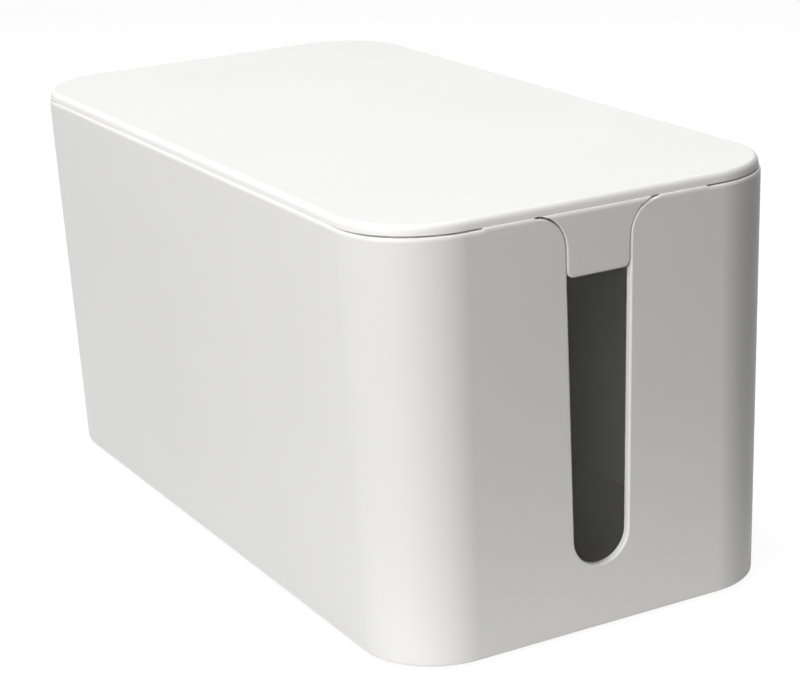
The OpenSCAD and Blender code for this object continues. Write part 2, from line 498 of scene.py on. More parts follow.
@dataclass
class Tub:
    """The case tub: leaning walls, a floor, two flared slots, and pads on the rim."""

    form: CaseForm
    slot: SlotForm
    corner_steps: int = 24
    arc_steps: int = 14
    edge_round: float = 0.55 * MM     # rounding of the slots' and the rim's outer edges
    rim_height: float = 1.3 * MM      # how far down the wall the rim's rounding is drawn
    inner_round: float = 0.15 * MM
    base_round: float = 0.7 * MM
    floor_round: float = 2.0 * MM
    recess: float = 1.0 * MM
    pad_end: float = 32.8 * MM        # a pad's far end, from the middle of the slot
    pad_step: float = 0.45 * MM       # the length of the step at a pad's end
    slope_start: float = 90.0 * MM    # where the long walls' raised rim starts to fall
    slope_end: float = 106.0 * MM     # where it has come down
    slope_cuts: tuple[float, ...] = (0.0, 0.15, 0.3)   # where it is cut to bend, as shares of the fall
    match: float = 0.2 * MM           # how far off a face of the wall its edges may lie

    def build(self, feet: "Feet") -> bpy.types.Object:
        """Models the tub.

        Args:
            feet: The feet that its base has recesses for.

        Returns:
            The finished mesh object.
        """
        tub = self._walls()
        self._soften_base(tub)
        for cutter in feet.recess_cutters(self.recess):
            combine(tub, cutter, "DIFFERENCE")
        for end in End:
            combine(tub, self._slot_cutter(end), "DIFFERENCE")
        self._soften_rim(tub)
        self._raise_pads(tub)
        finish_shading(tub)
        return tub

    def _walls(self) -> bpy.types.Object:
        """Models the leaning walls and the floor, open at the top.

        Known fault: the last step should raise the whole floor from the walls' thickness to its own. It
        finds only the eight corners of the floor where the straight walls end.
        """
        form = self.form
        tub = rounded_block("tub_moulding", form, form.base_z, form.rim_z, self.corner_steps)
        with editing(tub):
            pick(Kind.FACE, lambda face: abs(face.normal.z) > LEVEL)
            bpy.ops.mesh.delete(type="ONLY_FACE")
            for z in (form.base_z, form.rim_z):
                pick(Kind.VERT, lambda vert, z=z: abs(vert.co.z - z) < NEAR)
                bpy.ops.transform.shrink_fatten(value=-form.lean(z), use_even_offset=True)
            pick(Kind.EDGE, lambda edge: both_at(edge, form.base_z))
            bpy.ops.mesh.edge_face_add()
            bpy.ops.mesh.select_all(action="SELECT")
            bpy.ops.mesh.normals_make_consistent(inside=False)
        apply_modifier(tub, "SOLIDIFY", thickness=form.wall_t, offset=-1, use_even_offset=True)
        with editing(tub):
            pick(Kind.VERT, lambda vert: vert.co.z > form.rim_z - self.inner_round)
            bpy.ops.transform.resize(value=(1, 1, 0), center_override=(0, 0, form.rim_z))
            pick(Kind.VERT, lambda vert: abs(vert.co.z - form.base_z - form.wall_t) < NEAR)
            bpy.ops.transform.translate(value=(0, 0, form.floor_t - form.wall_t))
        return tub

    def _soften_base(self, tub: bpy.types.Object) -> None:
        """Rounds the base's outer edge, and the floor's inner edge along the straight walls."""
        with editing(tub):
            round_edges(lambda edge: both_at(edge, self.form.base_z), self.base_round, ROUND_STEPS)
            round_edges(lambda edge: both_at(edge, self.form.floor_z), self.floor_round, ROUND_STEPS)

    def _slot_cutter(self, end: End) -> bpy.types.Object:
        """Models the solid that cuts a slot out of one end wall."""
        slot, rim_z = self.slot, self.form.rim_z
        flare_z = slot.flare_z(rim_z)
        above = rim_z + 3 * self.form.pad_h
        inside = end.value * (self.form.half_l - self.form.corner_r)
        pen = Pen("slot_cutter", inside, -slot.flare_y, above)
        pen.line(-slot.flare_y, rim_z)
        pen.arc(-slot.flare_y, flare_z, -90, self.arc_steps)
        pen.line(-slot.bottom_r, slot.bottom_z)
        pen.arc(0, slot.bottom_z, 180, 2 * self.arc_steps)
        pen.line(slot.half, flare_z)
        pen.arc(slot.flare_y, flare_z, -90, self.arc_steps)
        pen.line(slot.flare_y, above)
        return pen.solid(end.value * (self.form.corner_r + self.form.wall_t))

    def _soften_rim(self, tub: bpy.types.Object) -> None:
        """Rounds the outer and inner edges of the rim and of both slots."""
        form = self.form

        def at_depth(edge: bmesh.types.BMEdge, depth: float) -> bool:
            """Whether a sharp edge above the floor lies that deep in the wall."""
            low = form.floor_z + self.floor_round
            return is_sharp(edge) and all(
                abs(form.depth(vert.co) - depth) < self.match and vert.co.z > low for vert in edge.verts
            )

        with editing(tub):
            round_edges(lambda edge: at_depth(edge, 0.0), self.edge_round, ROUND_STEPS)
            round_edges(lambda edge: at_depth(edge, form.wall_t), self.inner_round, BEVEL_STEPS)

    def _raise_pads(self, tub: bpy.types.Object) -> None:
        """Lifts the stretches of rim that carry the lid, and draws its rounding down the wall."""
        rim_z = self.form.rim_z
        band = rim_z - self.edge_round - NEAR
        start = self.slot.flare_y
        with editing(tub):
            for side in (-1, 1):
                for y in (start, start + self.pad_step, self.pad_end - self.pad_step, self.pad_end):
                    self._score(band, Vector((0, side * y, 0)), Vector((0, 1, 0)))
                for share in self.slope_cuts:
                    x = self.slope_start + share * (self.slope_end - self.slope_start)
                    self._score(band, Vector((side * x, 0, 0)), Vector((1, 0, 0)))
        for vert in tub.data.vertices:
            if vert.co.z > band:
                drawn = self._drawn_share(vert.co) * (self.rim_height / self.edge_round - 1)
                vert.co.z += self.form.pad_h * self._pad_share(vert.co) - drawn * (rim_z - vert.co.z)

    def _score(self, band: float, at: Vector, normal: Vector) -> None:
        """Adds a cut across the rim, above a height, where a plane meets it."""
        pick(Kind.FACE, lambda face: all(vert.co.z > band for vert in face.verts))
        bpy.ops.mesh.bisect(plane_co=at, plane_no=normal)

    def _drawn_share(self, at: Vector) -> float:
        """How far the rim's rounding is drawn down the wall at a place, from 0 to 1."""
        if self.form.depth(at) > self.form.wall_t / 2:
            return 0.0
        if abs(at.x) < self.form.half_l - self.form.corner_r:
            return 1.0
        return max(0.0, min(1.0, (abs(at.y) - self.slot.flare_y) / self.pad_step))

    def _pad_share(self, at: Vector) -> float:
        """How much of the pads' height the rim has at a place, from 0 to 1."""
        x, y = abs(at.x), abs(at.y)
        if x > self.slope_end or y < self.pad_end + self.pad_step:
            rise = (y - self.slot.flare_y) / self.pad_step
            fall = (self.pad_end - y) / self.pad_step
            return max(0.0, min(1.0, rise, fall))
        share = max(0.0, min(1.0, (self.slope_end - x) / (self.slope_end - self.slope_start)))
        return share * share * (3 - 2 * share)


# ---------------------------------------------------------------- the lid


@dataclass
class Lid:
    """The lid: a flat plate with a rounded edge, a skirt, cross ribs and posts for the tongues.

    Known fault: what should be the skirt is solid right across, and the ribs and posts lie within it.
    """

    form: CaseForm
    corner_steps: int = 24
    edge_round: float = 1.2 * MM      # rounding of the upper edge, measured level
    edge_height: float = 2.0 * MM     # how far down the side it is drawn
    edge_steps: int = 8
    low_bevel: float = 0.1 * MM
    side_draft: float = 0.2 * MM
    skirt_h: float = 6.0 * MM
    skirt_t: float = 1.8 * MM
    skirt_gap: float = 0.6 * MM
    skirt_break: float = 13.0 * MM    # half the skirt's opening beside a tongue
    skirt_bevel: float = 0.35 * MM
    rib_h: float = 3.0 * MM
    rib_t: float = 1.5 * MM
    rib_bevel: float = 0.3 * MM
    rib_count: int = 3

    def build(self, tongue: "Tongue") -> bpy.types.Object:
        """Models the lid.

        Args:
            tongue: The tongue that its posts hold.

        Returns:
            The finished mesh object.
        """
        lid = self._plate()
        self._raise_skirt(lid)
        for rib in self._ribs():
            combine(lid, rib, "UNION")
        for end in End:
            for post in tongue.posts(end):
                combine(lid, post, "UNION")
        finish_shading(lid)
        return lid

    def _plate(self) -> bpy.types.Object:
        """Models the plate, with its rounded upper edge and its bevelled lower one."""
        form = self.form.of_lid()
        lid = rounded_block("lid_moulding", form, form.seam_z, form.top_z, self.corner_steps)
        with editing(lid):
            pick(Kind.FACE, lambda face: abs(face.normal.z) > LEVEL)
            bpy.ops.mesh.delete(type="ONLY_FACE")
            pick(Kind.VERT, lambda vert: abs(vert.co.z - form.top_z) < NEAR)
            bpy.ops.transform.shrink_fatten(value=-self.side_draft, use_even_offset=True)
            for z in (form.seam_z, form.top_z):
                pick(Kind.EDGE, lambda edge, z=z: both_at(edge, z))
                bpy.ops.mesh.edge_face_add()
            bpy.ops.mesh.select_all(action="SELECT")
            bpy.ops.mesh.normals_make_consistent(inside=False)
            round_edges(lambda edge: both_at(edge, form.top_z), self.edge_round, self.edge_steps)
            round_edges(lambda edge: both_at(edge, form.seam_z), self.low_bevel, BEVEL_STEPS)
        for vert in lid.data.vertices:
            if vert.co.z > form.top_z - self.edge_round - NEAR:
                vert.co.z -= (self.edge_height / self.edge_round - 1) * (form.top_z - vert.co.z)
        return lid

    def _raise_skirt(self, lid: bpy.types.Object) -> None:
        """Insets the underside twice and pulls the strip between down, apart from the tongues' places.

        Known fault: is_strip takes the middle of the underside too, so that comes down with the strip.
        """
        form = self.form
        outer = form.wall_run + self.skirt_gap

        def is_under(face: bmesh.types.BMFace) -> bool:
            """Whether a face is part of the plate's flat underside."""
            return face.normal.z < -LEVEL and all(abs(v.co.z - form.seam_z) < NEAR for v in face.verts)

        def is_strip(face: bmesh.types.BMFace) -> bool:
            """Whether all corners of a face lie in, or on the edge of, the strip for the skirt."""
            depths = [form.depth(vert.co) for vert in face.verts]
            inner = outer + self.skirt_t
            return is_under(face) and outer - NEAR < min(depths) and max(depths) < inner + NEAR

        def carries_skirt(face: bmesh.types.BMFace) -> bool:
            """Whether such a face stands clear of the tongues."""
            middle = face.calc_center_median()
            return is_strip(face) and (
                abs(middle.y) > self.skirt_break or abs(middle.x) < form.half_l - form.corner_r
            )

        with editing(lid):
            pick(Kind.FACE, is_under)
            bpy.ops.mesh.inset(thickness=outer - form.lid_inset - self.low_bevel, use_even_offset=True)
            bpy.ops.mesh.inset(thickness=self.skirt_t, use_even_offset=True)
            for side in (-1, 1):
                pick(Kind.FACE, is_strip)
                bpy.ops.mesh.bisect(plane_co=(0, side * self.skirt_break, 0), plane_no=(0, 1, 0))
            pick(Kind.FACE, carries_skirt)
            bpy.ops.mesh.extrude_region_move(TRANSFORM_OT_translate={"value": (0, 0, -self.skirt_h)})
            low = form.seam_z - self.skirt_h
            round_edges(
                lambda edge: both_at(edge, low) and is_sharp(edge), self.skirt_bevel, BEVEL_STEPS
            )

    def _ribs(self) -> Iterator[bpy.types.Object]:
        """Models the cross ribs, one after another.

        Yields:
            Each rib.
        """
        form = self.form
        axis_x = form.half_l - form.corner_r
        reach = form.half_w - form.wall_run - self.skirt_gap - self.skirt_t / 2
        low = form.seam_z - self.rib_h
        for number in range(1, self.rib_count + 1):
            x = -axis_x + number * 2 * axis_x / (self.rib_count + 1)
            rib = add_block(
                "lid_rib",
                Vector((x - self.rib_t / 2, -reach, low)),
                Vector((x + self.rib_t / 2, reach, form.seam_z + MM)),
            )
            with editing(rib):
                round_edges(lambda edge: both_at(edge, low), self.rib_bevel, BEVEL_STEPS)
            yield rib


# ---------------------------------------------------------------- the tongues


@dataclass
class Tongue:
    """A slot tongue: a flap that fills the top of a slot, with a flange staked under the lid."""

    form: CaseForm
    slot: SlotForm
    drop: float = 19.5 * MM           # from the top of the lid to the tongue's lower edge
    side_gap: float = 0.08 * MM       # between its straight sides and the slot's
    flare_gap: float = 0.6 * MM       # how much rounder its flares are than the slot's
    corner_r: float = 2.0 * MM
    top_round: float = 0.6 * MM
    top_height: float = 1.3 * MM      # how far down its face the top's rounding is drawn
    side_round: float = 0.8 * MM      # rounding of the face's other edges, measured along it
    side_depth: float = 0.4 * MM      # how deep that rounding goes
    depth_blend: float = 2.0 * MM     # below the top's rounding, the height over which it gets so shallow
    flare_loss: float = 0.6           # how much of that rounding is lost up the flare
    loss_span: float = 0.5            # over how much of the flare's height it is lost
    rounded_top: float = 0.9          # the share of top_height, from the top, without that rounding
    match: float = 0.1 * MM           # how far off a face of the wall its edges may lie
    margin: float = 2.0 * MM          # how far the slab that it is cut from reaches past its outline
    inner_round: float = 0.4 * MM
    flange_l: float = 10.0 * MM
    flange_w: float = 24.0 * MM
    flange_t: float = 2.0 * MM
    flange_corner: float = 2.0 * MM
    flange_bevel: float = 0.3 * MM
    gusset_l: float = 5.0 * MM
    gusset_t: float = 1.5 * MM
    post_r: float = 1.5 * MM
    post_gap: float = 0.05 * MM
    post_pitch: float = 15.0 * MM
    post_shift: float = 0.5 * MM      # how far inwards of the flange's middle the posts stand
    post_foot: float = 0.1 * MM       # how far above the head's lower face a post ends
    head_r: float = 2.5 * MM
    head_h: float = 1.2 * MM
    head_round: float = 1.08 * MM
    head_steps: int = 5
    arc_steps: int = 14
    corner_steps: int = 8

    @property
    def face_x(self) -> float:
        """Where the tongue's inner face meets the lid."""
        return self.form.half_l - self.form.wall_run

    @property
    def half(self) -> float:
        """Half the tongue's width below its flare."""
        return self.slot.half - self.side_gap

    @property
    def low_z(self) -> float:
        """Height of the tongue's lower edge."""
        return self.form.top_z - self.drop

    @property
    def flange_z(self) -> float:
        """Height of the flange's underside."""
        return self.form.seam_z - self.flange_t

    def build(self, end: End) -> bpy.types.Object:
        """Models a tongue, at the front or mirrored to the rear.

        Args:
            end: The end of the box that it closes.

        Returns:
            The finished mesh object.
        """
        tongue = self._slab()
        combine(tongue, self._outline(), "INTERSECT")
        round_edges_by_share(tongue, self._outer_share, self.side_round, ROUND_STEPS)
        self._flatten_rounding(tongue)
        with editing(tongue):
            round_edges(self._is_inner_edge, self.inner_round, BEVEL_STEPS)
        combine(tongue, self._flange(), "UNION")
        for side in (-1, 1):
            combine(tongue, self._gusset(side), "UNION")
        for hole in self._post_holes():
            combine(tongue, hole, "DIFFERENCE")
        tongue.name = tongue.data.name = f"tongue_{end.name.lower()}_moulding"
        if end is End.REAR:
            self._mirror(tongue)
        finish_shading(tongue)
        return tongue

    def posts(self, end: End) -> Iterator[bpy.types.Object]:
        """Models the lid's two posts at one end, with their melted heads.

        Args:
            end: The end of the box.

        Yields:
            Each post.
        """
        low = self.flange_z - self.head_h
        for place in self._post_places(end):
            middle = place + Vector((0, 0, low + self.head_h / 2))
            head = add_rod("post_head", middle, self.head_r, self.head_h, ROD_STEPS)
            with editing(head):
                round_edges(lambda edge: both_at(edge, low), self.head_round, self.head_steps)
            foot = low + self.post_foot
            height = self.form.seam_z + MM - foot
            middle = place + Vector((0, 0, foot + height / 2))
            post = add_rod("lid_post", middle, self.post_r, height, ROD_STEPS)
            combine(post, head, "UNION")
            yield post

    def _slab(self) -> bpy.types.Object:
        """Models the leaning piece of wall that the tongue is cut from."""
        form, low = self.form, self.low_z - self.margin
        reach = self.slot.flare_y + self.margin
        slab = add_block(
            "tongue_slab", Vector((self.face_x, -reach, low)), Vector((form.half_l, reach, form.seam_z))
        )
        with editing(slab):
            pick(Kind.VERT, lambda vert: abs(vert.co.z - low) < NEAR)
            bpy.ops.transform.translate(value=(-form.lean(low), 0, 0))
            round_edges(
                lambda edge: both_at(edge, form.seam_z) and edge.verts[0].co.x > form.half_l - NEAR
                and edge.verts[1].co.x > form.half_l - NEAR,
                self.top_round, ROUND_STEPS,
            )
        for vert in slab.data.vertices:
            if vert.co.z > form.seam_z - self.top_round - NEAR and vert.co.x > self.face_x + NEAR:
                vert.co.z -= (self.top_height / self.top_round - 1) * (form.seam_z - vert.co.z)
        return slab

    def _outline(self) -> bpy.types.Object:
        """Models the tongue's outline as a solid that runs through the wall."""
        form, slot = self.form, self.slot
        radius = slot.flare_r + self.flare_gap
        centre_y = self.half + radius
        centre_z = slot.flare_z(form.rim_z) + self.side_gap
        corner_z = self.low_z + self.corner_r
        taper = (slot.half - slot.bottom_r) / (slot.flare_z(form.rim_z) - slot.bottom_z)
        low = self.half - taper * (centre_z - corner_z)
        above = form.seam_z + MM
        pen = Pen("tongue_outline", form.half_l - form.corner_r, -centre_y, above)
        pen.line(-centre_y, centre_z + radius)
        pen.arc(-centre_y, centre_z, -90, self.arc_steps)
        pen.line(-low, corner_z)
        pen.arc(self.corner_r - low, corner_z, 90, self.corner_steps)
        pen.line(low - self.corner_r, self.low_z)
        pen.arc(low - self.corner_r, corner_z, 90, self.corner_steps)
        pen.line(self.half, centre_z)
        pen.arc(centre_y, centre_z, -90, self.arc_steps)
        pen.line(centre_y, above)
        return pen.solid(form.corner_r + MM)

    def _outer_share(self, edge: bmesh.types.BMEdge) -> float:
        """How much of the side rounding an edge gets: all of it, and less and less up the flare.

        Args:
            edge: The edge.

        Returns:
            A share from 0, where the edge isn't part of the outer face's outline, to 1.
        """
        top = self.form.seam_z - self.rounded_top * self.top_height
        if not is_sharp(edge) or not all(
            abs(self.form.depth(vert.co)) < self.match and vert.co.z < top for vert in edge.verts
        ):
            return 0.0
        start = self.slot.flare_z(self.form.rim_z)
        climb = (max(vert.co.z for vert in edge.verts) - start) / (top - start)
        return 1.0 - self.flare_loss * max(0.0, min(1.0, climb / self.loss_span))

    def _flatten_rounding(self, tongue: bpy.types.Object) -> None:
        """Makes the rounding of the face's edges shallow, below the one along its top."""
        top = self.form.seam_z - self.top_height
        for vert in tongue.data.vertices:
            depth = self.form.depth(vert.co)
            if NEAR < depth < self.side_round + NEAR:
                blend = max(0.0, min(1.0, (top - vert.co.z) / self.depth_blend))
                vert.co.x += blend * (1 - self.side_depth / self.side_round) * depth

    def _is_inner_edge(self, edge: bmesh.types.BMEdge) -> bool:
        """Whether an edge goes round the tongue's inner face, below the flange."""
        return is_sharp(edge) and all(
            abs(self.form.depth(vert.co) - self.form.wall_t) < self.match
            and vert.co.z < self.flange_z - MM
            for vert in edge.verts
        )

    def _flange(self) -> bpy.types.Object:
        """Models the flange that lies against the underside of the lid."""
        inner = self.face_x - self.flange_l
        flange = add_block(
            "tongue_flange",
            Vector((inner, -self.flange_w / 2, self.flange_z)),
            Vector((self.face_x + MM, self.flange_w / 2, self.form.seam_z)),
        )
        with editing(flange):
            round_edges(
                lambda edge: all(vert.co.x < inner + NEAR for vert in edge.verts) and not (
                    both_at(edge, self.flange_z) or both_at(edge, self.form.seam_z)),
                self.flange_corner, ROUND_STEPS,
            )
            round_edges(lambda edge: both_at(edge, self.flange_z), self.flange_bevel, BEVEL_STEPS)
        return flange

    def _gusset(self, side: int) -> bpy.types.Object:
        """Models a gusset in the corner between the tongue and its flange.

        Known fault: the plane's normal isn't of unit length, so every corner counts as lying on the plane.
        Nothing is cut off, and faces are left across the block.

        Args:
            side: -1 or 1, the side of the tongue's middle.

        Returns:
            The gusset, which runs a little into both.
        """
        y, inner = side * self.half / 2, self.face_x - self.gusset_l
        low = self.flange_z - self.gusset_l
        gusset = add_block(
            "tongue_gusset",
            Vector((inner, y - self.gusset_t / 2, low)),
            Vector((self.face_x + MM, y + self.gusset_t / 2, self.flange_z + MM)),
        )
        foot_x = self.face_x - self.form.lean(low)
        with editing(gusset):
            bpy.ops.mesh.select_all(action="SELECT")
            bpy.ops.mesh.bisect(
                plane_co=(inner, 0, self.flange_z), plane_no=(low - self.flange_z, 0, inner - foot_x),
                use_fill=True, clear_outer=True,
            )
        return gusset

    def _post_places(self, end: End) -> list[Vector]:
        """The two places of the posts at one end, on the plane of the table."""
        x = self.face_x - self.flange_l / 2 - self.post_shift
        return [Vector((end.value * x, side * self.post_pitch / 2, 0)) for side in (-1, 1)]

    def _post_holes(self) -> Iterator[bpy.types.Object]:
        """Models the rods that cut the post holes in the front flange.

        Yields:
            Each rod.
        """
        for place in self._post_places(End.FRONT):
            middle = place + Vector((0, 0, self.flange_z + self.flange_t / 2))
            yield add_rod("post_hole", middle, self.post_r + self.post_gap, 2 * self.flange_t, ROD_STEPS)

    def _mirror(self, tongue: bpy.types.Object) -> None:
        """Turns a front tongue into a rear one."""
        activate(tongue)
        tongue.scale = (-1, 1, 1)
        bpy.ops.object.transform_apply(location=False, rotation=False, scale=True)
        with editing(tongue):
            bpy.ops.mesh.select_all(action="SELECT")
            bpy.ops.mesh.normals_make_consistent(inside=False)


# ---------------------------------------------------------------- the feet


@dataclass
class Feet:
    """Four rubber feet, seated in recesses under the base."""

    radius: float = 6.0 * MM
    gap: float = 0.3 * MM
    edge_round: float = 0.5 * MM
    edge_steps: int = 5
    steps: int = 64

    def nodes(self) -> dict[str, Vector]:
        """The feet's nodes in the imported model, each with the middle of its box."""
        names = [f"foot_{end}_{side}" for end in ("front", "rear") for side in ("left", "right")]
        return {name: sum(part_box(name), Vector()) / 2 for name in names}

    def build(self) -> dict[str, bpy.types.Object]:
        """Models one foot and copies it to all four places.

        Returns:
            The finished mesh objects, by the node that each stands for.
        """
        feet: dict[str, bpy.types.Object] = {}
        for node, middle in self.nodes().items():
            low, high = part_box(node)
            foot = add_rod(f"{node}_pad", middle, self.radius, high.z - low.z, self.steps)
            with editing(foot):
                round_edges(lambda edge: both_at(edge, low.z), self.edge_round, self.edge_steps)
            finish_shading(foot)
            feet[node] = foot
        return feet

    def recess_cutters(self, depth: float) -> Iterator[bpy.types.Object]:
        """Models the rods that cut the recesses, one after another.

        Args:
            depth: How deep a recess is.

        Yields:
            Each rod.
        """
        for node, middle in self.nodes().items():
            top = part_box("case_tub")[0].z + depth
            height = depth + MM
            place = Vector((middle.x, middle.y, top - height / 2))
            yield add_rod(f"{node}_recess", place, self.radius + self.gap, height, self.steps)


# ---------------------------------------------------------------- finishes


def feed(tree: bpy.types.NodeTree, node: bpy.types.Node, feeds: Feeds) -> None:
    """Gives a node's inputs their values and links.

    Args:
        tree: The tree that the node is in.
        node: The node.
        feeds: By input socket, its constant or the output socket that is linked to it.
    """
    for key, value in feeds.items():
        if isinstance(value, bpy.types.NodeSocket):
            tree.links.new(value, node.inputs[key])
        else:
            node.inputs[key].default_value = value


def add_node(
    tree: bpy.types.NodeTree, kind: str, feeds: Feeds | None = None, **settings: object
) -> bpy.types.Node:
    """Adds a shader node to a tree.

    Args:
        tree: The tree.
        kind: The node's type, without its "ShaderNode".
        feeds: What its inputs get, as in feed.
        **settings: The node's own settings.

    Returns:
        The new node.
    """
    node = tree.nodes.new(f"ShaderNode{kind}")
    for name, value in settings.items():
        setattr(node, name, value)
    feed(tree, node, feeds or {})
    return node


class NodeGroup:
    """A shader node group with named sockets, built once and shared."""

    def __init__(self, name: str) -> None:
        """Starts an empty group."""
        self.tree = bpy.data.node_groups.new(name, "ShaderNodeTree")
        self.inlet = self.tree.nodes.new("NodeGroupInput")
        self.outlet = self.tree.nodes.new("NodeGroupOutput")

    def takes(self, name: str, kind: str, value: object = None) -> None:
        """Adds an input of a kind, with a default value."""
        socket = self.tree.interface.new_socket(name, in_out="INPUT", socket_type=f"NodeSocket{kind}")
        if value is not None:
            socket.default_value = value

    def gives(self, name: str, kind: str, source: bpy.types.NodeSocket) -> None:
        """Adds an output of a kind, and links it to its source."""
        self.tree.interface.new_socket(name, in_out="OUTPUT", socket_type=f"NodeSocket{kind}")
        self.tree.links.new(source, self.outlet.inputs[name])

    def taken(self, name: str) -> bpy.types.NodeSocket:
        """The socket that brings an input in."""
        return self.inlet.outputs[name]

    def node(self, kind: str, feeds: Feeds, **settings: object) -> bpy.types.Node:
        """Adds a shader node of a kind, with what its inputs get and its settings."""
        return add_node(self.tree, kind, feeds, **settings)


def mould_grain_group() -> bpy.types.NodeTree:
    """Builds the fine grain that a spark-eroded mould leaves on plastic.

    Returns:
        A group whose Height runs from 0 to 1 over grains about Grain metres across.
    """
    group = NodeGroup("mould_grain")
    group.takes("Vector", "Vector")
    group.takes("Grain", "Float", 0.5 * MM)
    place = group.taken("Vector")
    scale = group.node("Math", {0: 1.0, 1: group.taken("Grain")}, operation="DIVIDE").outputs[0]
    texture = {"Vector": place, "Scale": scale}
    fine = group.node("TexNoise", {**texture, "Detail": 2.0, "Roughness": 0.6}, noise_dimensions="3D")
    cells = group.node("TexVoronoi", texture, feature="SMOOTH_F1")
    both = group.node(
        "Mix", {"Factor": 0.4, "A": fine.outputs["Fac"], "B": cells.outputs["Distance"]}, data_type="FLOAT"
    )
    group.gives("Height", "Float", both.outputs["Result"])
    return group.tree


def tone_drift_group() -> bpy.types.NodeTree:
    """Builds the slow drift of tone and gloss that a large moulding shows.

    Returns:
        A group that gives a colour and a roughness, both varied by a small share.
    """
    group = NodeGroup("tone_drift")
    group.takes("Vector", "Vector")
    group.takes("Color", "Color", (0.8, 0.8, 0.8, 1.0))
    group.takes("Tone Share", "Float", 0.02)
    group.takes("Roughness", "Float", 0.5)
    group.takes("Gloss Share", "Float", 0.05)

    def varied(name: str, share: str, scale: float) -> bpy.types.NodeSocket:
        """One of the inputs, lowered in clouds of a scale by up to a share of it."""
        cloud = group.node(
            "TexNoise", {"Vector": group.taken("Vector"), "Scale": scale, "Detail": 3.0},
            noise_dimensions="3D",
        )
        least = group.node("Math", {0: 1.0, 1: group.taken(share)}, operation="SUBTRACT")
        spread = group.node("MapRange", {
            "Value": cloud.outputs["Fac"], "From Min": 0.3, "From Max": 0.7, "To Min": least.outputs[0],
        }, interpolation_type="LINEAR")
        scaled = group.node(
            "VectorMath", {0: group.taken(name), "Scale": spread.outputs["Result"]}, operation="SCALE"
        )
        return scaled.outputs["Vector"]

    colour = varied("Color", "Tone Share", scale=16.0)
    gloss = varied("Roughness", "Gloss Share", scale=45.0)
    roughness = group.node("SeparateXYZ", {0: gloss}).outputs["X"]
    group.gives("Color", "Color", colour)
    group.gives("Roughness", "Float", roughness)
    return group.tree


def height_mask_group() -> bpy.types.NodeTree:
    """Builds a mask that turns on above a height.

    Returns:
        A group whose Mask is 0 below Height, and 1 from Height plus Blend upwards.
    """
    group = NodeGroup("height_mask")
    group.takes("Vector", "Vector")
    group.takes("Height", "Float", 0.0)
    group.takes("Blend", "Float", MM)
    place = group.node("SeparateXYZ", {0: group.taken("Vector")})
    above = group.node("Math", {0: place.outputs["Z"], 1: group.taken("Height")}, operation="SUBTRACT")
    share = group.node(
        "Math", {0: above.outputs[0], 1: group.taken("Blend")}, operation="DIVIDE", use_clamp=True
    )
    group.gives("Mask", "Float", share.outputs[0])
    return group.tree


@dataclass(frozen=True)
class Finish:
    """A moulded finish: a colour with a slow drift, a gloss, and a fine mould grain."""

    name: str
    colour: tuple[float, float, float]
    roughness: float
    grain: float                      # size of the grain
    relief: float                     # height of the grain
    specular: float = 0.3
    tone_share: float = 0.02
    gloss_share: float = 0.08
    matt_above: float | None = None   # height above which the grain shows and the gloss is less
    matt_blend: float = 0.4 * MM      # the height over which both change
    matt_roughness: float = 0.6

    def material(self, groups: dict[str, bpy.types.NodeTree]) -> bpy.types.Material:
        """Builds the material.

        Args:
            groups: The shared node groups, by name.

        Returns:
            The material.
        """
        material = bpy.data.materials.new(self.name)
        material.use_nodes = True
        tree = material.node_tree
        place = add_node(tree, "TexCoord").outputs["Object"]
        drift = add_node(tree, "Group", {
            "Vector": place, "Color": (*self.colour, 1.0), "Tone Share": self.tone_share,
            "Roughness": self.roughness, "Gloss Share": self.gloss_share,
        }, node_tree=groups["tone_drift"])
        grain = add_node(
            tree, "Group", {"Vector": place, "Grain": self.grain}, node_tree=groups["mould_grain"]
        )
        roughness, height = drift.outputs["Roughness"], grain.outputs["Height"]
        if self.matt_above is not None:
            mask = add_node(
                tree, "Group", {"Vector": place, "Height": self.matt_above, "Blend": self.matt_blend},
                node_tree=groups["height_mask"],
            ).outputs["Mask"]
            gloss = add_node(
                tree, "Mix", {"Factor": mask, "A": roughness, "B": self.matt_roughness}, data_type="FLOAT"
            )
            shown = add_node(tree, "Math", {0: height, 1: mask}, operation="MULTIPLY")
            roughness, height = gloss.outputs["Result"], shown.outputs[0]
        bump = add_node(tree, "Bump", {"Distance": self.relief, "Strength": 1.0, "Height": height})
        feed(tree, tree.nodes["Principled BSDF"], {
            "Base Color": drift.outputs["Color"], "Roughness": roughness,
            "Specular IOR Level": self.specular, "Normal": bump.outputs["Normal"],
        })
        return material


def dress(piece: bpy.types.Object, material: bpy.types.Material) -> None:
    """Gives a piece one material all over."""
    piece.data.materials.clear()
    piece.data.materials.append(material)


# ---------------------------------------------------------------- studio


